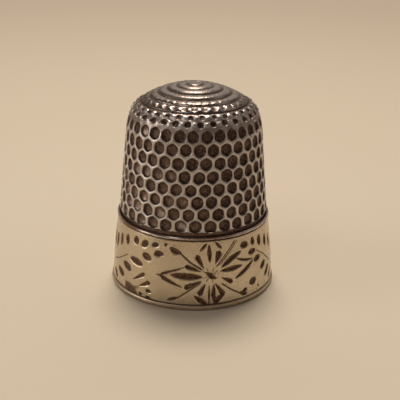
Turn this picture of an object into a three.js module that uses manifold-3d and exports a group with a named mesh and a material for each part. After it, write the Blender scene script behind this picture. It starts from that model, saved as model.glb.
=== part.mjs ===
// A silver sewing thimble, built up from five turned and formed pieces that lap into one another:
// a ringed crown, a honeycomb-dimpled wall with a plain skirt, a collar bead, a flared band over
// the skirt, and a rolled rim under both. Millimetres, +Z up, origin at the centre of the mouth,
// on the plane the rim stands on.
import * as THREE from "three";
import { mergeVertices } from "three/addons/utils/BufferGeometryUtils.js";
import Module from "manifold-3d";

// ---------------------------------------------------------------- driving dimensions
const HEIGHT = 21.05; // mouth plane to the top of the crown
const SOLDER = 0.02; // solder film between lapped pieces
const SEGMENTS = 64; // facets around every turned piece, two per dimple

const RIM_R = 8.66; // largest radius, at the rolled rim
const RIM_H = 0.58; // height of the rolled rim

const BAND_TOP_Z = 7.2;
const BAND_TOP_R = 7.89; // outer radius at the upper edge
const BAND_FOOT_Z = 0.62; // lower edge, just above the rim
const BAND_FOOT_R = 8.54; // outer radius at the lower edge
const BAND_BEVEL_H = 0.06; // height of the bevel on both outer edges

const SKIRT_T = 0.34; // thickness of the plain skirt inside the band
const SKIRT_FOOT_Z = RIM_H + 0.03;
// Outside of the skirt, measured in from the outside of the band at the band's two edges.
const SKIRT_TOP_INSET = 0.31;
const SKIRT_FOOT_INSET = 0.36;

const WALL_FOOT_Z = 7.78; // where the dimpled wall stops and the skirt begins
const WALL_FOOT_R = 7.74; // outer radius there
const WALL_TOP_Z = 16.1; // where the straight taper turns into the shoulder
const WALL_TOP_R = 6.97; // outer radius there
const WALL_T = 0.52; // thickness of the tapered wall between dimples

const CROWN_R = 5.42; // radius of the crown's outer edge
const CROWN_BALL_R = 9.75; // the crown is part of a ball of this radius
const CROWN_T = 0.52; // depth of the crown's thick centre under the ball
const CROWN_EDGE_T = 0.27; // depth of its thinner edge, over the wall's seat
const SEAT_R = 4.55; // inner radius of the wall's seat under the crown

// ---------------------------------------------------------------- guide curves
// Height of the crown's ball at a radius.
const crownZ = (radius) =>
  HEIGHT - CROWN_BALL_R + Math.sqrt(CROWN_BALL_R ** 2 - radius ** 2);

// Outer radius of the skirt at height z.
function skirtR(z) {
  const topR = BAND_TOP_R - SKIRT_TOP_INSET;
  const footR = BAND_FOOT_R - SKIRT_FOOT_INSET;
  return topR + ((footR - topR) * (BAND_TOP_Z - z)) / (BAND_TOP_Z - BAND_FOOT_Z);
}

// ---------------------------------------------------------------- materials
const metal = (color, roughness) =>
  new THREE.MeshStandardMaterial({ color, roughness, metalness: 1 });
const oxidised = metal(0x8f857c, 0.38);
const polished = metal(0xd6c9ae, 0.22);

// ---------------------------------------------------------------- solid helpers
const wasm = await Module();
wasm.setup();

// Welds coincident vertices and drops the triangles that collapse, leaving a watertight mesh.
function closed(geometry) {
  // Seams differ only in normal and uv, which would keep them from welding.
  geometry.deleteAttribute("normal");
  geometry.deleteAttribute("uv");
  const merged = mergeVertices(geometry, 1e-4);
  const corners = merged.index.array;
  const kept = [];
  for (let i = 0; i < corners.length; i += 3) {
    const [a, b, c] = corners.slice(i, i + 3);
    if (a !== b && b !== c && c !== a) kept.push(a, b, c);
  }
  merged.setIndex(kept);
  return merged;
}

// A closed profile of [radius, height] points, walked with the metal on its left, turned about +Z.
function turned(profile) {
  const loop = profile.map(([radius, z]) => new THREE.Vector2(radius, z));
  const startsOffAxis = profile[0][0] > 1e-6;
  if (startsOffAxis) loop.push(loop[0].clone());
  const lathe = new THREE.LatheGeometry(loop, SEGMENTS);
  lathe.rotateX(Math.PI / 2);
  return closed(lathe);
}

// Takes a geometry that closed() has welded.
function toSolid(geometry) {
  return new wasm.Manifold(
    new wasm.Mesh({
      numProp: 3,
      vertProperties: new Float32Array(geometry.attributes.position.array),
      triVerts: new Uint32Array(geometry.index.array),
    }),
  );
}

function toGeometry(solid) {
  const { vertProperties, triVerts } = solid.getMesh();
  const geometry = new THREE.BufferGeometry();
  const positions = new Float32Array(vertProperties);
  geometry.setAttribute("position", new THREE.BufferAttribute(positions, 3));
  geometry.setIndex(new THREE.BufferAttribute(new Uint32Array(triVerts), 1));
  geometry.computeVertexNormals();
  return geometry;
}

// ---------------------------------------------------------------- crown
const GROOVE_RADII = [0.86, 1.84, 2.83, 3.79, 4.66]; // between the raised rings
const GROOVE_DEPTH = 0.13;
const GROOVE_HALF_W = 0.17;
const CREST_OFFSET = 0.475; // from a groove out to the crest of the next ring
const LAST_CREST_R = 5.05; // crest outside the last groove
const CREST_LIFT = 0.02; // height of a crest above the ball

// A shallow ball cap with raised rings. A thicker centre drops into the wall's seat ring, and its
// thinner edge rests on the seat.
function crownGeometry() {
  const onBall = (radius, lift = 0) => [radius, crownZ(radius) + lift];
  const lastGroove = GROOVE_RADII.at(-1);
  const top = [onBall(0)];
  for (const groove of GROOVE_RADII) {
    const crest = groove === lastGroove ? LAST_CREST_R : groove + CREST_OFFSET;
    top.push(
      onBall(groove - GROOVE_HALF_W),
      onBall(groove, -GROOVE_DEPTH),
      onBall(groove + GROOVE_HALF_W),
      onBall(crest, CREST_LIFT),
    );
  }
  const edge = [
    onBall(CROWN_R - 0.12),
    onBall(CROWN_R, -0.12),
    [CROWN_R - 0.08, crownZ(CROWN_R) - 0.26],
  ];
  const under = [
    [SEAT_R - SOLDER, crownZ(SEAT_R) - CROWN_EDGE_T],
    [SEAT_R - SOLDER, crownZ(SEAT_R) - CROWN_T],
    ...[3.4, 1.7, 0].map((radius) => onBall(radius, -CROWN_T)),
  ];
  return turned([...top, ...edge, ...under].reverse());
}

// ---------------------------------------------------------------- dimpled wall
// Outside of the wall from its foot up, [radius, z]: the straight taper, then the shoulder.
const OUTLINE = [
  [WALL_FOOT_R, WALL_FOOT_Z],
  [WALL_TOP_R, WALL_TOP_Z],
  [6.87, 16.85], [6.73, 17.5], [6.52, 18.1], [6.26, 18.6], [5.98, 18.98], [5.72, 19.19],
  [CROWN_R + 0.07, crownZ(CROWN_R) - 0.07],
];

const COLUMNS = 32; // dimples around each row
// Each row: height, half the opening's width across flats, and turn as a share of one column.
const ROWS = [
  { z: 8.62, halfWidth: 0.63, turn: 0.17 },
  { z: 9.82, halfWidth: 0.63, turn: 0.7 },
  { z: 11.04, halfWidth: 0.62, turn: 0.25 },
  { z: 12.28, halfWidth: 0.61, turn: 0.79 },
  { z: 13.55, halfWidth: 0.6, turn: 0.34 },
  { z: 14.82, halfWidth: 0.6, turn: 0.88 },
  { z: 16.1, halfWidth: 0.59, turn: 0.41 },
  { z: 17.4, halfWidth: 0.56, turn: 0.95 },
  { z: 18.58, halfWidth: 0.42, turn: 0.51 },
];
const DIMPLE_DEPTH = 0.2;
const SHALLOW_DEPTH = DIMPLE_DEPTH * 0.75;
const SHALLOW_ABOVE_Z = 18; // rows above this height are shallow
const PUNCH_REACH = 0.12; // length of a punch outside the wall

// Radius of the outline at height z, and its lean towards the axis in radians.
function onOutline(z) {
  const upper = OUTLINE.findIndex(([, pointZ]) => z <= pointZ);
  const [lowR, lowZ] = OUTLINE[upper - 1];
  const [highR, highZ] = OUTLINE[upper];
  const share = (z - lowZ) / (highZ - lowZ);
  return {
    radius: lowR + (highR - lowR) * share,
    lean: Math.atan2(lowR - highR, highZ - lowZ),
  };
}

// The wall and skirt before the dimples are cut.
function wallBlank() {
  const skirt = [
    [skirtR(SKIRT_FOOT_Z), SKIRT_FOOT_Z],
    [skirtR(BAND_TOP_Z), BAND_TOP_Z],
    [skirtR(BAND_TOP_Z) - 0.01, WALL_FOOT_Z - 0.16],
  ];
  const [lipR, lipZ] = OUTLINE.at(-1);
  const seat = [
    [lipR - 0.05, lipZ - 0.2],
    [CROWN_R - 0.1, crownZ(CROWN_R) - CROWN_EDGE_T - SOLDER],
    [SEAT_R, crownZ(SEAT_R) - CROWN_EDGE_T - SOLDER],
    [SEAT_R, crownZ(SEAT_R) - CROWN_T],
    [5.2, crownZ(5.2) - 0.56],
  ];
  const bore = [
    [5.75, 18.45], [6.1, 17.9], [6.3, 17.3],
    [WALL_TOP_R - WALL_T, WALL_TOP_Z - 0.1],
    [WALL_FOOT_R - WALL_T, WALL_FOOT_Z],
    [skirtR(BAND_TOP_Z) - SKIRT_T, BAND_TOP_Z],
    [skirtR(SKIRT_FOOT_Z) - SKIRT_T, SKIRT_FOOT_Z],
  ];
  return toSolid(turned([...skirt, ...OUTLINE, ...seat, ...bore]));
}

// A six-sided punch on the -Y side, square to the wall with its point inwards, a corner up and
// flats towards the neighbours in the row.
function punchGeometry({ z, halfWidth }) {
  const { radius, lean } = onOutline(z);
  const depth = z > SHALLOW_ABOVE_Z ? SHALLOW_DEPTH : DIMPLE_DEPTH;
  const length = depth + PUNCH_REACH;
  const cornerR = halfWidth / Math.cos(Math.PI / 6); // at the wall's surface
  const cone = new THREE.ConeGeometry((cornerR * length) / depth, length, 6);
  cone.translate(0, (depth - PUNCH_REACH) / 2, 0);
  cone.rotateX(-lean);
  cone.translate(0, -radius, z);
  return cone;
}

function wallGeometry() {
  const step = (2 * Math.PI) / COLUMNS;
  let wall = wallBlank();
  for (const row of ROWS) {
    const punch = punchGeometry(row);
    for (let column = 0; column < COLUMNS; column++) {
      const placed = punch.clone().rotateZ((column + row.turn) * step);
      wall = wall.subtract(toSolid(closed(placed)));
    }
  }
  return toGeometry(wall);
}

// ---------------------------------------------------------------- collar bead
const BEAD_FACETS = 10; // around the wire's section
const BEAD_HALF_W = 0.17;
const BEAD_HALF_H = 0.18;

// A round wire seated in the corner between the skirt and the band's upper edge.
function beadGeometry() {
  const centreR = BAND_TOP_R - 0.1;
  const centreZ = BAND_TOP_Z + 0.2;
  const section = [];
  for (let i = 0; i < BEAD_FACETS; i++) {
    const angle = (i / BEAD_FACETS) * 2 * Math.PI;
    section.push([
      centreR + BEAD_HALF_W * Math.cos(angle),
      centreZ + BEAD_HALF_H * Math.sin(angle),
    ]);
  }
  return turned(section);
}

// ---------------------------------------------------------------- band
// A flared sleeve over the skirt, from the bead down to the rim.
function bandGeometry() {
  return turned([
    [skirtR(BAND_FOOT_Z) + SOLDER, BAND_FOOT_Z],
    [BAND_FOOT_R - 0.06, BAND_FOOT_Z],
    [BAND_FOOT_R, BAND_FOOT_Z + BAND_BEVEL_H],
    [BAND_TOP_R, BAND_TOP_Z - BAND_BEVEL_H],
    [BAND_TOP_R - 0.05, BAND_TOP_Z],
    [skirtR(BAND_TOP_Z) + SOLDER, BAND_TOP_Z],
  ]);
}

// ---------------------------------------------------------------- rolled rim
// A half-round roll with a flat foot, under the ends of the skirt and the band.
function rimGeometry() {
  const innerR = skirtR(RIM_H) - SKIRT_T;
  return turned([
    [innerR + 0.2, 0],
    [RIM_R - 0.26, 0],
    [RIM_R - 0.09, 0.07],
    [RIM_R, 0.22],
    [RIM_R, 0.36],
    [RIM_R - 0.08, 0.5],
    [RIM_R - 0.22, RIM_H],
    [innerR + 0.02, RIM_H],
    [innerR - 0.02, 0.4],
    [innerR + 0.02, 0.14],
  ]);
}

// ---------------------------------------------------------------- assembly
function piece(name, geometry, material) {
  const mesh = new THREE.Mesh(geometry, material);
  mesh.name = name;
  return mesh;
}

const body = new THREE.Group(); // the drawn shell: crown on wall
body.add(piece("crown_cap", crownGeometry(), oxidised));
body.add(piece("honeycomb_wall", wallGeometry(), oxidised));

const foot = new THREE.Group(); // what is fitted round its skirt
foot.add(piece("collar_bead", beadGeometry(), polished));
foot.add(piece("engraved_band", bandGeometry(), polished));
foot.add(piece("rim_roll", rimGeometry(), polished));

const thimble = new THREE.Group();
thimble.name = "thimble";
thimble.add(body, foot);

export default thimble;
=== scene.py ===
# A silver sewing thimble standing on its rim about the Z axis, front towards -Y: a ringed crown,
# a honeycomb-dimpled wall, a collar bead, an engraved band and a rolled rim.
# Meshes are worked out in millimetres and stored in metres. Angles round the axis start at the
# front (-Y) and grow towards +X. "tarnish" is a point attribute: 0 is bare silver, 1 is black;
# in a few places it also carries painted light and painted shade.
import math
from collections import namedtuple

import bpy
import numpy as np
from mathutils import Matrix, Vector


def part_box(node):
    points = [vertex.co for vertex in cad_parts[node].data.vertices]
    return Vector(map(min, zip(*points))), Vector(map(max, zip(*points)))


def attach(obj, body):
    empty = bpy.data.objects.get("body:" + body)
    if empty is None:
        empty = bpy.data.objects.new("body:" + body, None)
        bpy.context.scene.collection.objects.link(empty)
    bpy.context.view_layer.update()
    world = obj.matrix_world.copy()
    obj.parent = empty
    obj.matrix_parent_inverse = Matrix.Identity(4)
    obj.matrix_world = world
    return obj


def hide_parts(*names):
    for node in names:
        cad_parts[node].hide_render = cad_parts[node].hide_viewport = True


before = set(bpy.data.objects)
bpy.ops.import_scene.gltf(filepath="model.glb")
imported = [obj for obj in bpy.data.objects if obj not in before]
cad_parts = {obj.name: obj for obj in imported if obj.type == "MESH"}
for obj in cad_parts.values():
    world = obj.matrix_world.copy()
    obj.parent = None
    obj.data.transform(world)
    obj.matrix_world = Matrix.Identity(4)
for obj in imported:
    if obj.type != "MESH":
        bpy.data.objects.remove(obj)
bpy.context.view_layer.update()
TAU = 2 * math.pi
rng = np.random.default_rng(11)  # shared by the wall and then the crown


def span(node):
    lo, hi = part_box(node)
    return np.array(lo) * 1000, np.array(hi) * 1000


# ---------------------------------------------------------------- driving sizes, mm
RIM_R, _, RIM_H = span("rim_roll")[1]
band_lo, band_hi = span("engraved_band")
bead_lo, bead_hi = span("collar_bead")
crown_hi = span("crown_cap")[1]

BAND_Z0, BAND_Z1 = band_lo[2], band_hi[2] + 0.04
BAND_R0 = band_hi[0]  # outer radius at the foot
BAND_R1 = BAND_R0 - 0.65  # and at the upper edge
BEAD_LIFT = 0.05  # the bead sits this far above its CAD piece
BEAD_R, BEAD_Z0, BEAD_Z1 = bead_hi[0], bead_lo[2] + BEAD_LIFT, bead_hi[2] + BEAD_LIFT
CROWN_R, TOP_Z = crown_hi[0], crown_hi[2]
BALL_R = 9.75  # the crown is part of a ball
SEAT_R = 4.55  # the opening under the crown
SKIRT_Z0 = span("honeycomb_wall")[0][2]  # the skirt is the plain wall behind the band
SKIRT_THICK = 0.34
COLUMNS = 32  # dimples in a row, and nicks round the crown
RING_STEPS = 448  # steps round the crown, the bead and the rim
SHARP_ANGLE = 75  # degrees; steeper edges are shaded sharp


def crown_z(r):
    return TOP_Z - BALL_R + math.sqrt(BALL_R**2 - r**2)


def skirt_r(z):
    return BAND_R1 - 0.31 + (BAND_R0 - BAND_R1 - 0.05) * (BAND_Z1 - z) / (BAND_Z1 - BAND_Z0)


def inside_r(z):
    return skirt_r(z) - SKIRT_THICK


# ---------------------------------------------------------------- mesh helpers
def smoothstep(a, b, x):
    t = np.clip((np.asarray(x, float) - a) / (b - a), 0, 1)
    return t * t * (3 - 2 * t)


def from_front(angle):
    """The same angle between -pi and pi, 0 at the front."""
    return (angle + math.pi) % TAU - math.pi


def around(r, z, theta):
    return np.stack([r * np.sin(theta), -r * np.cos(theta), z + 0 * theta], -1)


def turn_steps(count):
    return np.arange(count) / count * TAU


def make(name, verts, faces, tarnish):
    mesh = bpy.data.meshes.new(name)
    mesh.from_pydata((np.asarray(verts) * 0.001).tolist(), [], faces)
    mesh.validate()
    mesh.polygons.foreach_set("use_smooth", np.ones(len(mesh.polygons), bool))
    attribute = mesh.attributes.new("tarnish", "FLOAT", "POINT")
    attribute.data.foreach_set("value", np.asarray(tarnish, np.float32))
    mesh.set_sharp_from_angle(angle=math.radians(SHARP_ANGLE))
    mesh.update()
    ob = bpy.data.objects.new(name, mesh)
    bpy.context.scene.collection.objects.link(ob)
    return ob


def catmull(points, per):
    """A Catmull-Rom curve through the points, with `per` steps between each two."""
    p = np.array(points, float)
    p = np.vstack([2 * p[0] - p[1], p, 2 * p[-1] - p[-2]])
    t = np.linspace(0, 1, per, endpoint=False)[:, None]
    out = []
    for i in range(1, len(p) - 2):
        a, b, c, d = p[i - 1 : i + 3]
        square = (2 * a - 5 * b + 4 * c - d) * t**2
        cube = (3 * b - a - 3 * c + d) * t**3
        out.append(0.5 * (2 * b + (c - a) * t + square + cube))
    return np.vstack(out + [p[-2:-1]])


def ring_grid(rows, n, closed=True):
    """Quads between successive rings of n vertices; closed joins the last ring to the first."""
    j = np.arange(n)
    k = (j + 1) % n
    faces = []
    for i in range(rows if closed else rows - 1):
        a, b = i * n, (i + 1) % rows * n
        faces.append(np.stack([a + j, a + k, b + k, b + j], 1))
    return np.vstack(faces)


# ---------------------------------------------------------------- honeycomb wall
# Places on the wall are given as a column (in dimples round the wall) and a run (mm along the
# outer outline from its foot); height is mm out from the outline.
WALL_OUTLINE = [  # r, z of the outer surface, from the foot up
    (7.74, 7.78), (7.547, 9.86), (7.355, 11.94), (7.162, 14.02), (6.97, 16.1), (6.88, 16.9),
    (6.74, 17.56), (6.53, 18.15), (6.27, 18.6), (5.98, 18.97), (5.72, 19.19),
    (CROWN_R + 0.05, crown_z(CROWN_R) - 0.03),
]
INSIDE_OUTLINE = [  # r, z of the inner surface above the skirt
    (inside_r(BAND_Z1), BAND_Z1), (7.22, 7.9), (6.84, 12.0), (6.45, 16.0), (6.31, 17.2),
    (6.1, 17.9), (5.75, 18.42), (5.2, 18.95), (4.62, 19.3),
]
ROW_Z = [8.61, 9.81, 11.03, 12.27, 13.54, 14.81, 16.12, 17.44, 18.56]  # all rows but the top one
PHASE = [0.16, 0.69, 0.265, 0.82, 0.37, 0.895, 0.41, 0.95, 0.50, 0.665]  # first column's place
ROWS = len(PHASE)
SHOULDER = 8  # rows from here on lie on the rounded shoulder
SIDE_STEPS = 4  # steps along each of a cell's six sides
FOOT_EDGE = (-0.07, 0.45)  # height and tarnish of the net's lower border
HEAD_EDGE = (-0.05, 0.85)  # and of its upper border
KNOB_HEIGHT = {8: 0.12, 9: 0.085}  # by row

# size: share of the cell; hexed: 1 follows the cell, 0 is round; rings: share of the pit's
# radius, height, tarnish
Pit = namedtuple("Pit", "size hexed rings")
WALL_PIT = Pit(size=0.885, hexed=0.32, rings=[
    (1.075, -0.006, 0.0), (1.0, -0.03, 0.1), (0.955, -0.085, 0.45), (0.91, -0.155, 0.85),
    (0.84, -0.22, 1.0), (0.70, -0.258, 0.92), (0.42, -0.275, 0.76), (0.18, -0.277, 0.72),
])
SHOULDER_PIT = Pit(size=0.60, hexed=0.1, rings=[
    (1.33, -0.03, 0.30), (1.1, -0.035, 0.36), (0.98, -0.07, 0.48), (0.88, -0.14, 0.88),
    (0.72, -0.2, 1.0), (0.5, -0.23, 1.0), (0.3, -0.24, 1.0), (0.15, -0.24, 1.0),
])
TOP_PIT = Pit(size=0.52, hexed=0.0, rings=[
    (1.5, -0.03, 0.34), (1.14, -0.04, 0.40), (0.98, -0.06, 0.52), (0.85, -0.1, 0.85),
    (0.68, -0.14, 1.0), (0.48, -0.15, 1.0), (0.3, -0.15, 1.0), (0.15, -0.15, 1.0),
])
PITS = [WALL_PIT] * SHOULDER + [SHOULDER_PIT, TOP_PIT]

wall_line = catmull(WALL_OUTLINE, 24)
wall_run = np.concatenate([[0], np.cumsum(np.hypot(*np.diff(wall_line, axis=0).T))])
tangent = np.gradient(wall_line, wall_run, axis=0)
tangent /= np.linalg.norm(tangent, axis=1)[:, None]
wall_normal = np.stack([tangent[:, 1], -tangent[:, 0]], 1)


def on_wall(run, height):
    """r, z of a point on or off the outer outline."""
    r = np.interp(run, wall_run, wall_line[:, 0]) + height * np.interp(run, wall_run, wall_normal[:, 0])
    z = np.interp(run, wall_run, wall_line[:, 1]) + height * np.interp(run, wall_run, wall_normal[:, 1])
    return r, z


ROW_RUN = [np.interp(z, wall_line[:, 1], wall_run) for z in ROW_Z] + [wall_run[-1] - 0.52]
# where neighbouring rows meet, and how far their zigzag border reaches to either side of that
EDGE_RUN = [ROW_RUN[0] - 0.58] + [(a + b) / 2 for a, b in zip(ROW_RUN, ROW_RUN[1:])]
EDGE_RUN.append(wall_run[-1] - 0.1)
ZIGZAG = [0.0] + [(b - a) / 6 for a, b in zip(ROW_RUN, ROW_RUN[1:])] + [0.0]
SHOULDER_RUN = EDGE_RUN[SHOULDER]


def column_turn(column):
    """Angle of a column: the pitch of the dimples drifts a little round the wall."""
    return column * TAU / COLUMNS - 0.018 * math.sin(column * TAU / COLUMNS)


def dull(run):
    """The shoulder keeps more of its dark film than the lower wall."""
    return smoothstep(SHOULDER_RUN - 1.2, SHOULDER_RUN + 0.05, run)


def glint_spot(column):
    """Painted highlight: a place on the shoulder, left of the front, where the film is thinned so the knobs
    glint.
    """
    return math.exp(-(((from_front(column_turn(column)) + 0.27) / 0.34) ** 2))


def soot(run, column):
    """The film of the shoulder, which in front hangs down over two more rows; the painted highlight left of
    the front thins it.
    """
    side = from_front(column_turn(column))
    glinted = glint_spot(column) * smoothstep(SHOULDER_RUN + 0.1, SHOULDER_RUN + 0.5, run)
    hanging = 0.85 * smoothstep(SHOULDER_RUN - 3.3, SHOULDER_RUN - 0.8, run)
    return (1 - 0.75 * glinted) * max(dull(run), hanging * math.exp(-(((side + 0.08) / 0.58) ** 2)))


class Net:
    """The wall's growing mesh; border points are shared between neighbouring cells."""

    def __init__(self):
        self.verts, self.tarnish, self.faces, self.shared = [], [], [], {}

    def point(self, column, run, height, tarnish):
        r, z = on_wall(run, height)
        turn = column_turn(column)
        self.verts.append((r * math.sin(turn), -r * math.cos(turn), z))
        self.tarnish.append(tarnish)
        return len(self.verts) - 1

    def border(self, column, run, height, tarnish):
        key = (round((column % COLUMNS) * 4096) % (COLUMNS * 4096), round(run * 4096),
               round(height * 4096))
        if key not in self.shared:
            self.shared[key] = self.point(column, run, height, tarnish)
        return self.shared[key]


def cell_outline(row):
    """Points round a cell of this row: columns from its middle, and run."""
    # apexes sit under and over the neighbouring rows' upright walls
    below = (PHASE[row - 1] - PHASE[row]) % 1 if row else 0.5
    above = (PHASE[row + 1] - PHASE[row]) % 1 if row < ROWS - 1 else 0.5
    low, high = EDGE_RUN[row], EDGE_RUN[row + 1]
    low_zig, high_zig = ZIGZAG[row], ZIGZAG[row + 1]
    corners = np.array([
        (-0.5, low + low_zig), (below - 0.5, low - low_zig), (0.5, low + low_zig),
        (0.5, high - high_zig), (above - 0.5, high + high_zig), (-0.5, high - high_zig),
    ])
    return np.array([
        a + (b - a) * step / SIDE_STEPS
        for a, b in zip(corners, np.roll(corners, -1, axis=0))
        for step in range(SIDE_STEPS)
    ])


def add_border(net, row, middle, outline):
    ids = []
    for i, (across, run) in enumerate(outline):
        height, tarnish = -0.035 * dull(run), 0.36 * soot(run, middle + across)
        upright = i // SIDE_STEPS % 3 == 2 and i % SIDE_STEPS
        if row >= SHOULDER and upright:  # a polished knob between two dimples
            height, tarnish = KNOB_HEIGHT[row] if i % SIDE_STEPS == 2 else 0.03, 0.0
        if row == 0 and abs(run - EDGE_RUN[0]) < 1e-9:
            height, tarnish = FOOT_EDGE
        if row == ROWS - 1 and abs(run - EDGE_RUN[-1]) < 1e-9:
            height, tarnish = HEAD_EDGE
        ids.append(net.border(middle + across, run, height, tarnish))
    return ids


def pit_painted_light(row, middle, draw):
    """Painted light: how far a pit's film is lightened, on the left (-X) side of the piece, mostly low
    down.
    """
    side = from_front(column_turn(middle))
    reach = 0.05 - 0.085 * row
    painted_light = smoothstep(reach + 0.30, reach - 0.40, side) * smoothstep(-3.0, -2.2, side) * (row < 9)
    return painted_light * (0.33 + 0.12 * draw + 0.05 * (row < 2)) * (0.6 if row > 6 else 1.0)


def add_row(net, row, light_rng):
    outline = cell_outline(row)
    n = len(outline)
    row_run = ROW_RUN[row]
    pitch = TAU * on_wall(row_run, 0)[0] / COLUMNS
    flat = np.stack([outline[:, 0] * pitch, outline[:, 1] - row_run], 1)  # mm from the middle
    radius = np.linalg.norm(flat, axis=1)
    angle = np.arctan2(flat[:, 1], flat[:, 0])
    mean = 0.5 * (pitch * 0.5 + 0.5 * (EDGE_RUN[row + 1] - EDGE_RUN[row]) * 0.98)
    size, hexed, rings = PITS[row]
    rim = size * (hexed * flat + (1 - hexed) * flat / radius[:, None] * mean * 1.04)
    knob = np.exp(-((flat[:, 1] / radius / 0.34) ** 2)) if row >= SHOULDER else np.zeros(n)

    for column in range(COLUMNS):
        middle = PHASE[row] + column
        # no two punch marks have quite the same place, size, depth, film and outline
        draw = rng.normal(0, 1, 5)
        shift = np.array([draw[0] * 0.022, draw[1] * 0.022])
        grow = 1 + 0.028 * np.clip(draw[2], -2, 2)
        deep = 1 + 0.07 * np.clip(draw[3], -2, 2)
        clean = 0.11 * np.clip(draw[4], -1.6, 1.4)
        a = rng.uniform(0, TAU, 3)
        uneven = (1 + 0.018 * np.cos(2 * angle + a[0]) + 0.014 * np.cos(3 * angle + a[1])
                  + 0.009 * np.cos(5 * angle + a[2]))[:, None]
        light_draw = light_rng.uniform(-1, 1, 4)
        painted_light = pit_painted_light(row, middle, light_draw[0])
        lit_side = -0.95 + 0.6 * light_draw[1]  # the direction in the pit painted lightest
        glint = 0.92 * glint_spot(middle) if row == SHOULDER else 0.0

        loops = [add_border(net, row, middle, outline)]
        for i, (share, height, film) in enumerate(rings):
            q = rim * share * grow * uneven + shift
            if share > 1:  # stays inside the cell's own border
                limit = radius * (0.93 if i == 0 else 0.9)
                length = np.linalg.norm(q, axis=1)
                q = q * np.minimum(1, limit / np.maximum(length, 1e-9))[:, None]
            ids = []
            for m in range(n):
                x, y = q[m]
                up = knob[m] * (share > 1)
                out = height * (deep if film > 0.5 else 1) + up * (0.10 if share > 1.2 else 0.055)
                # painted light: each pit is lightened towards one side, and more on the left of the piece
                lightened = 0.62 + 0.48 * math.cos(angle[m] - lit_side) * min(1.0, share * 1.6)
                lightened += 0.14 * math.cos(3 * angle[m] + 3 * light_draw[2])
                lightened *= painted_light * (share < 0.93)
                veiled = row < SHOULDER and share > 0.99
                veil = 0.34 * soot(row_run + y, middle) if veiled else 0.0
                # painted highlight: the shoulder's film is thinned left of the front
                thin = 1 - glint * smoothstep(-0.45, 0.05, y) if film < 0.6 else 1.0
                kept = film * thin * (1 - up)
                tarnish = max(kept - clean * (film > 0.6) - lightened, min(kept, 0.36)) + veil
                ids.append(net.point(middle + x / pitch, row_run + y, out, tarnish))
            loops.append(ids)
        _, height, film = rings[-1]
        centre = net.point(middle + shift[0] / pitch, row_run + shift[1], height * deep,
                           film - clean - 0.62 * painted_light)
        for a, b in zip(loops, loops[1:]):
            for m in range(n):
                k = (m + 1) % n
                net.faces.append((a[m], a[k], b[k], b[m]))
        for m in range(n):
            net.faces.append((ids[m], ids[(m + 1) % n], centre))


def wall_back_rings():
    """r, z, tarnish from under the net: down the strip and skirt, up the inside to the seat."""
    strip_r, strip_z = on_wall(EDGE_RUN[0], 0)
    rings = [
        (strip_r - 0.13, strip_z - 0.06, 0.5),
        (strip_r - 0.155, strip_z - 0.14, 0.54),
        (skirt_r(BAND_Z1), BEAD_Z1 + 0.06, 0.6),
        (skirt_r(BAND_Z1), BAND_Z1, 0.9),
    ]
    rings += [(skirt_r(z), z, 0.8) for z in np.linspace(BAND_Z1 - 0.8, SKIRT_Z0, 8)]
    rings.append((inside_r(SKIRT_Z0), SKIRT_Z0, 0.32))
    rings += [(inside_r(z), z, 0.26) for z in np.linspace(SKIRT_Z0 + 0.8, BAND_Z1, 8)]
    rings += [(r, z, 0.30) for r, z in catmull(INSIDE_OUTLINE, 4)[1:]]
    edge_z = crown_z(CROWN_R)
    return rings + [
        (SEAT_R, 19.34, 0.7),
        (SEAT_R, crown_z(SEAT_R) - 0.29, 1.0),
        (CROWN_R - 0.1, edge_z - 0.29, 1.0),
        (CROWN_R - 0.03, edge_z - 0.22, 1.0),
        (CROWN_R + 0.01, edge_z - 0.14, 1.0),
    ]


def build_wall():
    net = Net()
    light_rng = np.random.default_rng(77)
    for row in range(ROWS):
        add_row(net, row, light_rng)

    # the rest is rings that run from the net's lower border to its upper one
    per_column = 2 * SIDE_STEPS
    n = COLUMNS * per_column
    foot_columns = [PHASE[0] - 0.5 + i / per_column for i in range(n)]
    head_columns = [PHASE[-1] - 0.5 + i / per_column for i in range(n)]
    foot = [net.border(u, EDGE_RUN[0], *FOOT_EDGE) for u in foot_columns]
    head = [net.border(u, EDGE_RUN[-1], *HEAD_EDGE) for u in head_columns]
    foot_turn = np.array([column_turn(u) for u in foot_columns])
    head_turn = np.array([column_turn(u) for u in head_columns])
    rings = wall_back_rings()
    loops = [foot]
    for i, (r, z, tarnish) in enumerate(rings):
        theta = foot_turn + (head_turn - foot_turn) * ((i + 1) / (len(rings) + 1))
        loops.append(range(len(net.verts), len(net.verts) + n))
        net.verts.extend(map(tuple, around(r, z, theta)))
        net.tarnish.extend([tarnish] * n)
    loops.append(head)
    for a, b in zip(loops, loops[1:]):
        for m in range(n):
            k = (m + 1) % n
            net.faces.append((a[m], b[m], b[k], a[k]))
    return make("honeycomb_wall_silver", net.verts, net.faces, net.tarnish)


# ---------------------------------------------------------------- crown
GROOVES = [0.86, 1.84, 2.83, 3.79, 4.66]  # radii between the central boss and the five rings
CREST = (None, 0.0, 0.12, 0.3, 0.34, 0.0)  # by ring: crest's place, from -1 inner to 1 outer groove
RING_DEPTH = (None, 0.15, 0.15, 0.17, 0.17, 0.14)
SLIGHT_NICKS = {3: (0.6, 0.008), 4: (0.1, 0.03)}  # by ring: offset in columns, depth
OUTER_RING = 5
CROWN_THICK = 0.54


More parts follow.
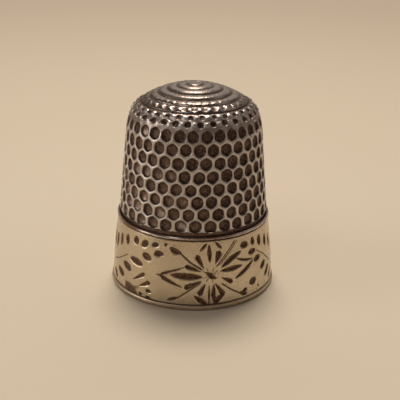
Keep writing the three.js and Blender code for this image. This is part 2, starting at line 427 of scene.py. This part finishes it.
def crown_section():
    """r, height, darkness, ring number and place across the ring, from the centre outwards."""
    rows = []
    edges = [0.0] + GROOVES + [CROWN_R]
    for step in range(12):  # the boss
        t = step / 12
        height = 0.05 * (1 - t * t) - 0.09 * smoothstep(0.72, 1.0, t)
        rows.append((edges[1] * t, height, smoothstep(0.7, 0.98, t), 0, t))
    for ring in range(1, len(edges) - 1):
        a, b = edges[ring], edges[ring + 1]
        for step in range(14):
            t = step / 14
            across = 0.5 - 0.5 * math.cos(math.pi * t)  # closer together near the grooves
            across = 0.5 * across + 0.5 * t
            x, crest = 2 * across - 1, CREST[ring]
            x = (x - crest) / (1 - crest if x > crest else 1 + crest)
            height = 0.045 - RING_DEPTH[ring] * abs(x) ** 2.2
            rows.append((a + (b - a) * across, height, smoothstep(0.74, 1.0, abs(x)), ring, t))
    return rows + [(CROWN_R, -0.12, 1.0, None, 1)]


def nick_depth(ring, t, column, waver):
    """Radial nicks across the outer rings, one for each column of dimples."""
    if ring == OUTER_RING:
        dish = smoothstep(0.06, 0.42, t) * (1 - smoothstep(0.46, 0.86, t))
        return (0.5 + 0.5 * np.cos(TAU * (column + waver))) ** 1.3 * 0.12 * dish
    if ring in SLIGHT_NICKS:
        offset, depth = SLIGHT_NICKS[ring]
        wave = (0.5 + 0.5 * np.cos(TAU * (column + offset + waver))) ** 3
        return wave * depth * math.sin(math.pi * t)
    return np.zeros(len(column))


def build_crown():
    n = RING_STEPS
    theta = turn_steps(n)
    column = theta * COLUMNS / TAU
    draws = np.append(rng.normal(0, 0.05, COLUMNS), 0)
    waver = np.interp(column, np.arange(COLUMNS + 1), draws, period=COLUMNS)
    verts = [(0.0, 0.0, TOP_Z)]
    tarnish = [0.0]
    rings = 0
    for r, height, dark, ring, t in crown_section()[1:]:
        nick = nick_depth(ring, t, column, waver)
        tilt = math.asin(r / BALL_R)
        out = height - nick - 0.045
        verts.extend(map(tuple, around(r + out * math.sin(tilt), crown_z(r) + out * math.cos(tilt), theta)))
        # painted shade: a thin film on the crests towards the front dims the key light's highlight there
        film = 0.37 * np.exp(-((from_front(theta) / 0.85) ** 2)) * smoothstep(0.4, 1.2, r)
        film = film * (1 - 0.75 * smoothstep(4.3, GROOVES[-1], r))
        nick_film = nick * 7 * (1 if ring == OUTER_RING else 0.5)
        tarnish.extend(np.clip(dark + film * (1 - dark) + nick_film, 0, 1))
        rings += 1

    edge_z, seat_z = crown_z(CROWN_R), crown_z(SEAT_R)
    under = [  # r, z: the underside, from the edge inwards
        (CROWN_R - 0.02, edge_z - 0.2), (CROWN_R - 0.08, edge_z - 0.26),
        (4.53, seat_z - 0.27), (4.53, seat_z - 0.5), (4.49, seat_z - 0.53),
    ]
    under += [(r, crown_z(r) - CROWN_THICK) for r in (4.0, 3.5, 3.0, 2.4, 1.8, 1.2, 0.6)]
    for r, z in under:
        verts.extend(map(tuple, around(r, z, theta)))
        tarnish.extend([0.6 if r > 4.45 else 0.32] * n)
        rings += 1
    faces = (ring_grid(rings, n, closed=False)[:, ::-1] + 1).tolist()
    bottom = len(verts)
    verts.append((0.0, 0.0, TOP_Z - CROWN_THICK))
    tarnish.append(0.32)
    last = 1 + (rings - 1) * n
    for m in range(n):
        k = (m + 1) % n
        faces.append((0, 1 + m, 1 + k))
        faces.append((bottom, last + k, last + m))
    return make("crown_cap_silver", verts, faces, tarnish)


# ---------------------------------------------------------------- bead and rim
# angle from the front, and painted shade added there as film: it dims the bead's highlight on the far left
# and darkens it right of the front
BEAD_PAINTED_SHADE = (
    [-3.15, -1.6, -1.2, -0.96, -0.80, -0.70, -0.62, -0.54, -0.44,
     -0.26, -0.16, 0.0, 0.14, 0.46, 0.72, 1.2, 1.7, 3.15],
    [0.15, 0.18, 0.26, 0.62, 0.66, 0.30, 0.22, 0.34, 0.0,
     0.0, 0.26, 0.36, 0.46, 0.42, 0.18, 0.10, 0.10, 0.15],
)


def ring_piece(name, loop, wave=0.0, shade_table=None):
    """A closed loop of (r, z, tarnish) turned about the axis, with a slight hand-made waver and optional
    painted shade by angle.
    """
    n = RING_STEPS
    theta = turn_steps(n)
    # painted shade, added as film by angle from the front
    painted_shade = np.interp(from_front(theta), *shade_table) if shade_table else np.zeros(n)
    waver = np.sin(3 * theta + 0.7) + 0.6 * np.sin(7 * theta + 2.1) + 0.4 * np.sin(12 * theta + 4.0)
    waver = wave * waver
    verts = np.vstack([around(r + waver * 0.5, z + waver, theta) for r, z, _ in loop])
    tarnish = np.concatenate([t + painted_shade * (1 - t) for _, _, t in loop])
    return make(name, verts, ring_grid(len(loop), n).tolist(), tarnish)


def build_bead():
    half_wide, half_high, steps = 0.17, (BEAD_Z1 - BEAD_Z0) / 2, 28
    r, z = BEAD_R - half_wide, (BEAD_Z0 + BEAD_Z1) / 2
    loop = []
    for i in range(steps):
        a = i / steps * TAU
        film = smoothstep(0.62, -0.1, math.cos(a)) * 0.72
        loop.append((r + half_wide * math.cos(a), z + half_high * math.sin(a), film))
    return ring_piece("collar_bead_silver", loop, wave=0.006, shade_table=BEAD_PAINTED_SHADE)


def rim_film(r, z):
    if z > 0.45:
        return smoothstep(RIM_R - 0.06, RIM_R - 0.16, r) * 0.28
    return 0.35 if z < 0.01 else 0.15


def build_rim():
    inner = inside_r(RIM_H)
    section = np.array([  # r, z: along the foot, up the outside, over and down the inside
        (inner + 0.14, 0.0), (RIM_R - 0.22, 0.0), (RIM_R - 0.12, 0.02), (RIM_R - 0.04, 0.09),
        (RIM_R, 0.2), (RIM_R, 0.34), (RIM_R - 0.02, 0.45), (RIM_R - 0.05, 0.52),
        (RIM_R - 0.11, 0.57), (RIM_R - 0.2, 0.565), (RIM_R - 0.28, RIM_H), (inner + 0.06, RIM_H),
        (inner, 0.5), (inner - 0.03, 0.36), (inner - 0.01, 0.2), (inner + 0.05, 0.07),
    ])
    loop = []
    for a, b in zip(section, np.roll(section, -1, axis=0)):
        for t in (0, 0.5):
            r, z = a + (b - a) * t
            loop.append((r, z, rim_film(r, z)))
    return ring_piece("rim_roll_silver", loop)


# ---------------------------------------------------------------- cuts of the engraved band
# The pattern is laid out flat in mm: x round the band from the front, y up from its middle line.
MID_R = 8.25  # radius at which widths round the band are true
FRONT_FLOWER = 12.4  # degrees from the front
ARM_START, ARM_SPAN = 4.4, 9.5  # where a swag's long arm leaves its flower, and its length
LOW_RIGHT = 9.9  # from the front flower to the swag's low point towards +X
LOW_LEFT = ARM_START + ARM_SPAN  # and towards -X
LIP = 0.15  # width of the metal thrown up beside a cut

# half: half width of a stroke, or half length and half width of an oval
Cut = namedtuple("Cut", "kind points half depth angle", defaults=(0.0,))


def line(points, width, depth):
    return Cut("line", np.array(points, float), (width / 2,), depth)


def lens(ends, width, depth=0.13, bow=0.0):
    """Pointed at both ends; bow is the sideways bend as a share of the length."""
    a, b = np.array(ends, float)
    middle = (a + b) / 2 + bow * np.array([a[1] - b[1], b[0] - a[0]])
    return Cut("lens", np.array([a, middle, b] if bow else [a, b]), (width / 2,), depth)


def wedge(ends, width, depth=0.13):
    """Wide at the first end, sharp at the second."""
    return Cut("wedge", np.array(ends, float), (width / 2,), depth)


def oval(centre, long, wide, degrees, depth=0.13):
    points = np.array([centre], float)
    return Cut("oval", points, (long / 2, wide / 2), depth, math.radians(degrees))


# kind, points from the flower's middle, width, then depth and bow where they aren't the usual
FLOWER_LEAVES = [
    # pointed leaves
    (lens, [(-0.1, 3.22), (-0.02, 1.3)], 0.60),
    (lens, [(-0.12, -1.0), (-0.12, -3.25)], 0.26, 0.08),
    (lens, [(0.36, -0.95), (0.42, -3.25)], 0.58, 0.13, -0.05),
    (lens, [(-4.0, -0.03), (-0.75, -0.16)], 0.86, 0.15),
    (lens, [(1.1, 0.62), (3.5, 1.95)], 0.70, 0.13, 0.05),
    (lens, [(1.0, 0.32), (3.6, 0.46)], 0.62),
    # barbs that close each leaf's tip
    (wedge, [(-5.0, -0.2), (-2.3, 0.92)], 0.40, 0.10),
    (lens, [(-5.5, -0.2), (-4.4, -0.32)], 0.28, 0.08),
    (wedge, [(-4.95, -0.34), (-2.7, -1.32)], 0.56, 0.12),
    (lens, [(5.2, 0.68), (2.7, 1.36)], 0.36, 0.08, 0.05),
    (lens, [(5.25, 0.60), (2.6, -0.85)], 0.55, 0.12, 0.03),
    (lens, [(-0.3, 3.32), (-1.1, 2.5)], 0.38, 0.10),
    (lens, [(0.5, 3.36), (1.25, 2.6)], 0.40, 0.10),
    (lens, [(-0.2, -3.25), (-1.6, -2.15)], 0.62, 0.12),
    (lens, [(0.25, -3.25), (1.5, -2.0)], 0.68, 0.12),
    # short wedges between the leaves
    (wedge, [(1.0, 2.4), (0.55, 1.1)], 1.0),
    (wedge, [(-1.38, 2.08), (-0.6, 0.65)], 0.80),
    (wedge, [(-2.48, 0.98), (-0.85, 0.40)], 0.62),
    (wedge, [(-2.52, -1.34), (-0.8, -0.55)], 0.70),
    (wedge, [(2.35, -1.05), (1.1, -0.36)], 0.70),
    (wedge, [(-1.12, -2.1), (-0.5, -0.9)], 0.80),
    (wedge, [(1.42, -2.35), (0.5, -0.9)], 0.82),
    # heart of the flower
    (lens, [(-0.44, 0.32), (0.62, -0.46)], 0.56, 0.13),
    (lens, [(-0.3, 0.36), (0.2, -0.42)], 0.44, 0.11),
]
HEART_RAYS = (28, 62, 118, 152, 205, 238, 292, 330, 8)  # degrees
FLOWER_STEMS = [  # long stems, most ending in a drop
    (line, [(-0.77, 0.53), (-1.97, 1.33), (-3.1, 2.35)], 0.2, 0.08),
    (lens, [(-2.86, 2.28), (-4.15, 2.76)], 0.76, 0.12, 0.08),
    (line, [(-0.87, -0.71), (-1.92, -1.44), (-3.06, -2.35), (-3.7, -2.62)], 0.15, 0.06),
    (lens, [(-3.1, -2.35), (-4.3, -2.82)], 0.41, 0.08),
    (line, [(0.62, 0.8), (1.63, 1.95), (2.8, 3.3)], 0.15, 0.06),
    (line, [(0.9, 0.9), (1.85, 1.95), (3.02, 3.25)], 0.10, 0.04),
    (line, [(1.1, -0.95), (2.2, -1.85), (3.5, -2.72)], 0.17, 0.07),
    (lens, [(3.1, -2.42), (4.15, -2.86)], 0.66, 0.1),
]
# ovals of a swag: x from the flower, y, length, width, degrees, then depth if not the usual
LONG_ARM = [
    # under the upper edge
    (4.5, 2.94, 0.50, 0.36, 0, 0.09), (5.69, 2.74, 1.02, 0.66, -10), (7.0, 2.56, 1.22, 0.90, -42),
    (8.22, 2.54, 1.05, 0.92, 80), (9.66, 2.22, 1.40, 0.84, 88), (10.92, 1.76, 1.62, 0.80, 90),
    (12.15, 1.28, 1.90, 0.80, 90), (13.2, 1.1, 1.95, 0.76, 90),
    # the falling row
    (5.26, 1.90, 1.36, 0.80, -5), (6.67, 1.28, 1.42, 0.92, 20), (8.04, 0.34, 2.25, 0.92, 7),
    (9.44, -0.58, 1.78, 1.02, 16), (10.58, -1.66, 1.68, 0.92, 23), (11.9, -2.42, 1.55, 0.70, 36),
    # near the lower edge
    (6.30, -2.34, 0.78, 0.48, 0), (6.32, -3.05, 0.70, 0.38, 5), (7.25, -2.95, 0.60, 0.40, 0),
]
LONG_CURVE = [(9.3, 0.75), (9.9, 0.35), (10.7, -0.15), (11.5, -0.6), (12.6, -1.0)]  # x, y
SHORT_ARM = [
    # under the upper edge
    (3.92, 2.52, 1.30, 0.86, 0), (5.14, 2.50, 1.05, 0.74, 90), (6.36, 2.24, 1.40, 0.82, 90),
    (7.66, 1.84, 1.55, 0.84, 90), (9.0, 1.22, 1.80, 0.78, 90),
    # the falling row
    (4.98, 1.48, 1.40, 0.70, 6), (5.80, 0.50, 1.36, 0.80, 14), (6.88, -0.60, 1.46, 0.86, 28),
    (7.82, -1.66, 1.80, 0.74, 40), (8.75, -2.35, 1.50, 0.62, 45),
    # near the lower edge
    (5.02, -1.76, 1.30, 0.98, 8), (3.89, -2.35, 0.72, 0.40, 8), (5.9, -2.6, 0.5, 0.32, 0, 0.06),
]
SHORT_CURVE = [(5.66, 1.37), (6.3, 0.98), (7.02, 0.50), (7.8, -0.15), (8.67, -0.85)]  # x, y


def flower(x0, side):
    """A flower about x0; side -1 mirrors it."""

    def place(points):
        return [(x0 + side * x, y) for x, y in points]

    def from_table(table):
        return [kind(place(points), width, *depth, *(side * b for b in bow))
                for kind, points, width, depth, bow in
                ((row[0], row[1], row[2], row[3:4], row[4:]) for row in table)]

    cuts = from_table(FLOWER_LEAVES)
    cuts.append(oval((x0 + side * 0.05, 0.0), long=0.62, wide=0.52, degrees=0))
    for degrees in HEART_RAYS:
        c, s = math.cos(math.radians(degrees)), math.sin(math.radians(degrees))
        ray = place([(0.35 * c, 0.35 * s), (0.9 * c, 0.9 * s)])
        cuts.append(line(ray, width=0.08, depth=0.025))
    return cuts + from_table(FLOWER_STEMS)


def arm(place, side, ovals, curve):
    """One side of a swag: its ovals and the thin line between the rows."""
    cuts = [oval((place(x), y), long, wide, side * degrees, *depth)
            for x, y, long, wide, degrees, *depth in ovals]
    return cuts + [line([(place(x), y) for x, y in curve], width=0.13, depth=0.04)]


def hatch(x, y, side):
    """A shallow oval crossed by nine short strokes."""
    cuts = [oval((x, y - 0.05), long=2.5, wide=1.15, degrees=side * 22, depth=0.075)]
    for i in range(9):
        dx = -0.95 + i * 0.24
        middle = y - 0.34 * dx
        stroke = [(x + side * (dx - 0.1), middle + 0.27), (x + side * (dx + 0.08), middle - 0.27)]
        cuts.append(line(stroke, width=0.13, depth=0.05))
    return cuts


def long_arm(x0, side, stretch=1.0):
    def place(x):
        return x0 + side * (ARM_START + (x - ARM_START) * stretch)

    cuts = arm(place, side, LONG_ARM, LONG_CURVE)
    cuts.append(wedge([(place(6.85), -0.58), (place(8.5), -1.74)], width=0.62))
    cuts.append(wedge([(place(6.15), -1.36), (place(7.5), -2.12)], width=0.72))
    return cuts + hatch(place(8.62), -2.72, side)


def short_arm(x0, side):
    return arm(lambda x: x0 + side * x, side, SHORT_ARM, SHORT_CURVE)


def cut_pattern(girth):
    """Two flowers, front and back, joined by a swag on each side."""
    front = FRONT_FLOWER * math.pi / 180 * MID_R
    rest = (girth - LOW_RIGHT - LOW_LEFT) / 2  # from the back flower to each low point
    back = front + LOW_RIGHT + rest
    stretch = (rest - ARM_START) / ARM_SPAN
    return (flower(front, 1) + long_arm(front, -1) + short_arm(front, 1)
            + flower(back, -1) + long_arm(back, -1, stretch) + long_arm(back, 1, stretch))


def oval_field(cut, px, py):
    """Height, darkness and thrown-up edge of an oval at points measured from its centre."""
    c, s = math.cos(cut.angle), math.sin(cut.angle)
    along = (px * c + py * s) / cut.half[0]
    across = (-px * s + py * c) / cut.half[1]
    q = np.sqrt(along * along + across * across)
    height = -cut.depth * (1 - smoothstep(0.35, 1.0, q))
    dark = (1 - smoothstep(0.6, 1.02, q)) * min(1.0, 0.25 + cut.depth / 0.13)
    away = (q - 1) * min(cut.half) / LIP
    burr = np.sin(np.pi * np.clip(away, 0, 1)) ** 2 * min(1.0, cut.depth / 0.12)
    return height, dark, burr


def stroke_width(kind, half, t):
    """Half width of a stroke at share t of its length."""
    if kind == "lens":
        return half * np.sin(np.pi * np.clip(t, 0.001, 0.999)) ** 0.75
    if kind == "wedge":
        return half * (1 - t) ** 0.7 * smoothstep(-0.02, 0.14, t) ** 0.5
    return half * np.minimum(1, np.minimum(t, 1 - t) * 12 + 0.3)


def stroke_field(cut, points, px, py):
    """The same for a line, lens or wedge through points."""
    half = cut.half[0]
    height, dark, burr = np.zeros((3, *px.shape))
    lengths = np.linalg.norm(np.diff(points, axis=0), axis=1)
    total, run = lengths.sum(), 0.0
    for a, b, length in zip(points, points[1:], lengths):
        d = b - a
        t = np.clip(((px - a[0]) * d[0] + (py - a[1]) * d[1]) / (d @ d), 0, 1)
        dist = np.hypot(px - a[0] - t * d[0], py - a[1] - t * d[1])
        w = stroke_width(cut.kind, half, (run + t * length) / total)
        run += length
        rel = dist / np.maximum(w, 1e-3)
        height = np.minimum(height, -cut.depth * (w / half) ** 0.6 * np.clip(1 - rel, 0, 1))
        dark = np.maximum(dark, (1 - smoothstep(0.5, 1.02, rel)) * np.clip(w / 0.04, 0, 1))
        if half > 0.1:
            lip = np.sin(np.pi * np.clip((dist - w) / LIP, 0, 1)) ** 2
            burr = np.maximum(burr, lip * np.clip(w / 0.15, 0, 1))
    return height, dark, burr


def cut_field(x, y):
    """Height (mm, negative in a cut) and darkness, tarnish with painted shade on the lower facets, over the
    band's grid, x round and y up.
    """
    girth = TAU * MID_R
    X, Y = np.broadcast_arrays(x, y)
    height, dark, burr = np.zeros((3, *X.shape))
    jitter = np.random.default_rng(5)
    for cut in cut_pattern(girth):
        points = cut.points + jitter.normal(0, 0.02, 2)
        centre = points.mean(0)
        size = np.abs(points - centre).max() + max(cut.half) + 0.05
        dx = (X - centre[0] + girth / 2) % girth - girth / 2
        near = (np.abs(dx) < size) & (np.abs(Y - centre[1]) < size)
        px, py = dx[near], Y[near] - centre[1]
        if cut.kind == "oval":
            h, k, up = oval_field(cut, px, py)
        else:
            h, k, up = stroke_field(cut, points - centre, px, py)
        height[near] = np.minimum(height[near], h)
        dark[near] = np.maximum(dark[near], k)
        burr[near] = np.maximum(burr[near], up)
    height = height + 0.017 * burr * (1 - smoothstep(0.0, 0.02, -height))
    # painted shade: of each cut's two facets, the lower one is kept darker than the upper one
    rise = np.gradient(height, axis=0) / np.gradient(Y, axis=0)
    return height, dark * (1.0 - 0.34 * smoothstep(-0.25, 0.25, rise))


# ---------------------------------------------------------------- engraved band
def build_band():
    n, rows, margin = 984, 88, 0.05
    theta = turn_steps(n)
    t = np.linspace(0, 1, rows)
    middle_z = (BAND_Z0 + BAND_Z1) / 2
    z = BAND_Z0 + margin + (BAND_Z1 - BAND_Z0 - margin - margin) * t
    slope = (BAND_R0 - BAND_R1) / (BAND_Z1 - BAND_Z0)
    r = BAND_R0 - slope * (z - BAND_Z0) + 0.055 * np.sin(np.pi * t)  # a barely full cone
    height, dark = cut_field((theta * MID_R)[None, :], (z - middle_z + 0.17)[:, None])
    # soft hand-worn swell of the metal between the cuts
    swell = 0.012 * np.sin(5 * theta[None, :] + 1.3 * t[:, None] * 4)
    swell = swell + 0.008 * np.sin(9 * theta[None, :] - 3.0 * t[:, None])
    height = height + swell * np.sin(np.pi * t)[:, None]
    tilt = math.atan(slope)
    edge = np.maximum(0.6 * smoothstep(0.025, 0.0, t), smoothstep(0.975, 1.0, t))[:, None]
    rings = list(around(r[:, None] + height * math.cos(tilt), z[:, None] + height * math.sin(tilt),
                        np.broadcast_to(theta, height.shape)))
    tarnish = list(np.clip(dark + 0.3 * edge, 0, 1))
    for ring_r, ring_z, film in (  # over the upper edge, down the back and out at the foot
        (BAND_R1 - 0.015, BAND_Z1 - 0.02, 0.6),
        (BAND_R1 - 0.05, BAND_Z1, 0.8),
        (skirt_r(BAND_Z1) + 0.02, BAND_Z1, 1.0),
        (skirt_r(middle_z) + 0.02, middle_z, 0.9),
        (skirt_r(BAND_Z0) + 0.02, BAND_Z0, 1.0),
        (BAND_R0 - 0.08, BAND_Z0, 0.8),
        (BAND_R0 - 0.03, BAND_Z0 + 0.015, 0.5),
    ):
        rings.append(around(ring_r, ring_z, theta))
        tarnish.append(np.full(n, film))
    faces = ring_grid(len(rings), n).tolist()
    return make("engraved_band_silver", np.vstack(rings), faces, np.concatenate(tarnish))


# ---------------------------------------------------------------- materials
class Graph:
    """Short calls for a node tree; a value is a number, a colour or an output to link."""

    def __init__(self, owner):
        owner.use_nodes = True
        self.nodes, self.links = owner.node_tree.nodes, owner.node_tree.links

    def put(self, socket, value):
        if isinstance(value, bpy.types.NodeSocket):
            self.links.new(value, socket)
        else:
            socket.default_value = (*value, 1) if isinstance(value, tuple) else value

    def add(self, kind, inputs=None, **settings):
        node = self.nodes.new("ShaderNode" + kind)
        for key, value in settings.items():
            setattr(node, key, value)
        for key, value in (inputs or {}).items():
            self.put(node.inputs[key], value)
        return node

    def math(self, operation, a, b, clamp=False):
        return self.add("Math", {0: a, 1: b}, operation=operation, use_clamp=clamp).outputs[0]

    def swing(self, noise, amount):
        """The noise about zero, scaled."""
        return self.math("MULTIPLY", self.math("SUBTRACT", noise, 0.5), amount)

    def mix(self, factor, a, b):
        return self.add("Mix", {0: factor, 6: a, 7: b}, data_type="RGBA").outputs[2]

    def ramp(self, factor, stops):
        node = self.add("ValToRGB", {0: factor})
        elements = node.color_ramp.elements
        while len(elements) < len(stops):
            elements.new(0.5)
        for element, (position, colour) in zip(elements, stops):
            element.position = position
            element.color = (*colour, 1)
        return node.outputs[0]

    def mask(self, factor, low, high):
        """Black up to low, white from high."""
        return self.ramp(factor, [(low, (0, 0, 0)), (high, (1, 1, 1))])

    def noise(self, vector, scale, detail, roughness, distortion=0.0):
        return self.add("TexNoise", {
            "Scale": scale, "Detail": detail, "Roughness": roughness,
            "Distortion": distortion, "Vector": vector,
        }).outputs["Fac"]

    def bump(self, height, strength, distance):
        return self.add("Bump", {"Strength": strength, "Distance": distance, "Height": height})


def scaled(colour, factor):
    return tuple(c * factor for c in colour)


def silver(name, clean, rough, dark=(0.026, 0.011, 0.006), rough_dark=0.5,
           film=(0.15, 0.105, 0.08), stain=(0.42, 0.33, 0.22), stain_amount=0.5,
           lines=0.5, grain=1.0):
    """Silver going from clean through a brown film to dark; lines and grain scale the bumps."""
    material = bpy.data.materials.new(name)
    g = Graph(material)
    surface = g.nodes["Principled BSDF"].inputs
    coord = g.add("TexCoord").outputs["Object"]
    squeezed = g.add("Mapping", {"Vector": coord, "Scale": Vector((0.05, 0.05, 1.0))}).outputs[0]
    tarnish = g.add("Attribute", attribute_name="tarnish").outputs["Fac"]
    blotch = g.noise(coord, scale=260, detail=3, roughness=0.6)
    fine = g.noise(coord, scale=2600, detail=4, roughness=0.6)
    grit = g.noise(coord, scale=9000, detail=3, roughness=0.7)

    # tarnish creeps unevenly out of the recesses
    crept = g.math("ADD", tarnish, g.swing(fine, 0.55))
    cover = g.mask(g.math("MULTIPLY", crept, 1.0, clamp=True), low=0.14, high=0.92)

    # colour: stained silver, then film, then black
    tone = g.ramp(blotch, [(0.3, scaled(clean, 0.84)), (0.55, clean), (0.75, scaled(clean, 1.05))])
    stains = g.noise(coord, scale=520, detail=4, roughness=0.65, distortion=0.6)
    stains = g.mask(stains, low=0.48, high=0.72)
    stained = g.mix(g.math("MULTIPLY", stains, stain_amount), tone, stain)
    black = g.mix(grit, dark, tuple(c * 1.8 + 0.003 for c in dark))
    brown = g.mix(grit, scaled(film, 0.8), film)
    filmed = g.mix(g.mask(cover, low=0.04, high=0.5), stained, brown)
    worn = g.mix(g.mask(cover, low=0.5, high=0.95), filmed, black)
    # specks where the film has been rubbed through
    specks = g.noise(coord, scale=4800, detail=4, roughness=0.65, distortion=0.4)
    specks = g.math("MULTIPLY", g.mask(specks, low=0.50, high=0.66), cover)
    specks = g.math("MULTIPLY", specks, 0.6)
    g.put(surface["Base Color"], g.mix(specks, worn, scaled(film, 1.9)))

    metallic = g.math("SUBTRACT", 1.0, g.math("MULTIPLY", cover, 0.6))
    g.put(surface["Metallic"], metallic)
    roughness = g.math("ADD", g.math("MULTIPLY", cover, rough_dark - rough), rough)
    roughness = g.math("ADD", roughness, g.swing(fine, 0.16))
    roughness = g.math("ADD", roughness, g.swing(blotch, 0.14), clamp=True)
    g.put(surface["Roughness"], roughness)

    # fine turning lines round the axis, and a soft hammered grain
    turning = g.noise(squeezed, scale=16000, detail=2, roughness=0.5)
    hammered = g.noise(coord, scale=3800, detail=3, roughness=0.6)
    turned = g.bump(turning, strength=0.22 * lines, distance=0.00002)
    grained = g.bump(hammered, strength=0.35 * grain, distance=0.00003)
    g.put(grained.inputs["Normal"], turned.outputs[0])
    g.put(surface["Normal"], grained.outputs[0])
    return material


wall_silver = silver(
    "oxidised_silver_wall", clean=(0.60, 0.55, 0.53), rough=0.34, rough_dark=0.45,
    film=(0.168, 0.105, 0.077), stain=(0.36, 0.29, 0.235), lines=0.4, grain=1.3)
crown_silver = silver(
    "oxidised_silver_crown", clean=(0.355, 0.305, 0.29), rough=0.255, dark=(0.03, 0.018, 0.014),
    stain=(0.17, 0.13, 0.12), stain_amount=0.8, grain=1.15)
bead_silver = silver(
    "polished_silver_bead", clean=(0.62, 0.55, 0.505), rough=0.18, film=(0.24, 0.135, 0.10),
    stain=(0.45, 0.35, 0.27), stain_amount=0.25, grain=0.5)
band_silver = silver(
    "polished_silver_band", clean=(0.565, 0.48, 0.365), rough=0.26, dark=(0.036, 0.013, 0.005),
    film=(0.175, 0.098, 0.05), stain=(0.46, 0.36, 0.21), lines=0.8, grain=0.9)
rim_silver = silver(
    "polished_silver_rim", clean=(0.52, 0.42, 0.315), rough=0.38, stain=(0.38, 0.29, 0.19),
    grain=0.7)

for ob, material, node, slot in (
    (build_wall(), wall_silver, "honeycomb_wall", "oxidised_silver"),
    (build_crown(), crown_silver, "crown_cap", "oxidised_silver"),
    (build_bead(), bead_silver, "collar_bead", "polished_silver"),
    (build_band(), band_silver, "engraved_band", "polished_silver"),
    (build_rim(), rim_silver, "rim_roll", "polished_silver"),
):
    ob.data.materials.append(material)
    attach(ob, "root")
    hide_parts(node)

# ---------------------------------------------------------------- floor, world, lights, camera (m)
BACKDROP = (0.55, 0.43, 0.305)
FLOOR_R, FLOOR_SIDES = 3.0, 64
scene = bpy.context.scene


def paper():
    material = bpy.data.materials.new("floor_paper")
    g = Graph(material)
    bsdf = g.nodes["Principled BSDF"]
    coord = g.add("TexCoord").outputs["Object"]
    far = g.add("VectorMath", {0: coord}, operation="LENGTH").outputs["Value"]
    # painted falloff: the paper darkens away from the piece, as the light falls off
    painted_falloff = g.ramp(far, [(0.03, (0.66, 0.585, 0.48)), (0.26, (0.425, 0.34, 0.27))])
    g.put(bsdf.inputs["Base Color"], painted_falloff)
    g.put(bsdf.inputs["Roughness"], 0.9)
    g.put(bsdf.inputs["Specular IOR Level"], 0.15)
    # far away the paper fades into the backdrop, so no horizon shows
    camera_ray = g.add("LightPath").outputs["Is Camera Ray"]
    fade = g.math("MULTIPLY", g.mask(far, low=0.12, high=0.30), camera_ray)
    glow = g.add("Emission", {"Color": BACKDROP})
    blend = g.add("MixShader", {0: fade, 1: bsdf.outputs[0], 2: glow.outputs[0]})
    g.put(g.nodes["Material Output"].inputs["Surface"], blend.outputs[0])
    return material


def build_floor():
    mesh = bpy.data.meshes.new("floor")
    angles = [i / FLOOR_SIDES * TAU for i in range(FLOOR_SIDES)]
    verts = [(FLOOR_R * math.cos(a), FLOOR_R * math.sin(a), 0.0) for a in angles]
    mesh.from_pydata(verts, [], [tuple(range(FLOOR_SIDES))])
    ob = bpy.data.objects.new("floor", mesh)
    scene.collection.objects.link(ob)
    mesh.materials.append(paper())


def build_world():
    """A soft vertical gradient lights the piece; the camera sees the plain backdrop."""
    world = bpy.data.worlds.new("studio")
    scene.world = world
    g = Graph(world)
    coord = g.add("TexCoord").outputs["Generated"]
    up = g.add("SeparateXYZ", {0: coord}).outputs["Z"]
    sky = g.ramp(up, [
        (0.0, (0.28, 0.235, 0.182)), (0.28, (0.17, 0.143, 0.117)),
        (0.58, (0.13, 0.109, 0.091)), (0.80, (0.03, 0.025, 0.021)),
    ])
    camera_ray = g.add("LightPath").outputs["Is Camera Ray"]
    background = g.nodes["Background"].inputs
    g.put(background["Color"], g.mix(camera_ray, sky, BACKDROP))
    g.put(background["Strength"], 1.0)


LIGHT_AIM = Vector((0, 0, 0.01))


def light(name, place, size, watts, colour):
    data = bpy.data.lights.new(name, "AREA")
    data.shape = "DISK"
    data.size = size
    data.energy = watts
    data.color = colour
    ob = bpy.data.objects.new(name, data)
    scene.collection.objects.link(ob)
    ob.location = place
    ob.rotation_euler = (LIGHT_AIM - Vector(place)).to_track_quat("-Z", "Y").to_euler()
    ob.visible_camera = False


def build_camera():
    distance, elevation, roll = 0.085, math.radians(19.97), math.radians(1.0)
    pivot_z = 0.011  # the camera's distance and elevation are measured from here on the axis
    aim = Vector((0.00070, 0, 0.00847))
    data = bpy.data.cameras.new("camera")
    camera = bpy.data.objects.new("camera", data)
    scene.collection.objects.link(camera)
    data.sensor_width = 36.0
    data.lens = 73.35
    data.clip_start = 0.005
    data.clip_end = 20
    place = Vector((0, -distance * math.cos(elevation), pivot_z + distance * math.sin(elevation)))
    view = (aim - place).normalized()
    right = view.cross(Vector((0, 0, 1))).normalized()
    up = right.cross(view)
    rolled_right = math.cos(roll) * right + math.sin(roll) * up
    rolled_up = -math.sin(roll) * right + math.cos(roll) * up
    turn = Matrix((rolled_right, rolled_up, -view)).transposed()
    camera.matrix_world = Matrix.Translation(place) @ turn.to_4x4()
    scene.camera = camera


build_floor()
scene.view_settings.view_transform = "Standard"
build_world()
light("key_top", place=(-0.004, 0.160, 0.463), size=0.19, watts=1.90, colour=(1.0, 0.90, 0.775))
light("sky_behind", place=(0.03, 0.36, 0.31), size=0.50, watts=0.24, colour=(1.0, 0.90, 0.79))
light("window_left", place=(-0.215, -0.30, 0.42), size=0.16, watts=0.19, colour=(1.0, 0.93, 0.84))
light("panel_left", place=(-0.52, -0.10, 0.16), size=0.34, watts=0.75, colour=(1.0, 0.93, 0.83))
light("fill_right", place=(0.42, 0.05, 0.40), size=0.36, watts=0.12, colour=(1.0, 0.91, 0.80))
build_camera()
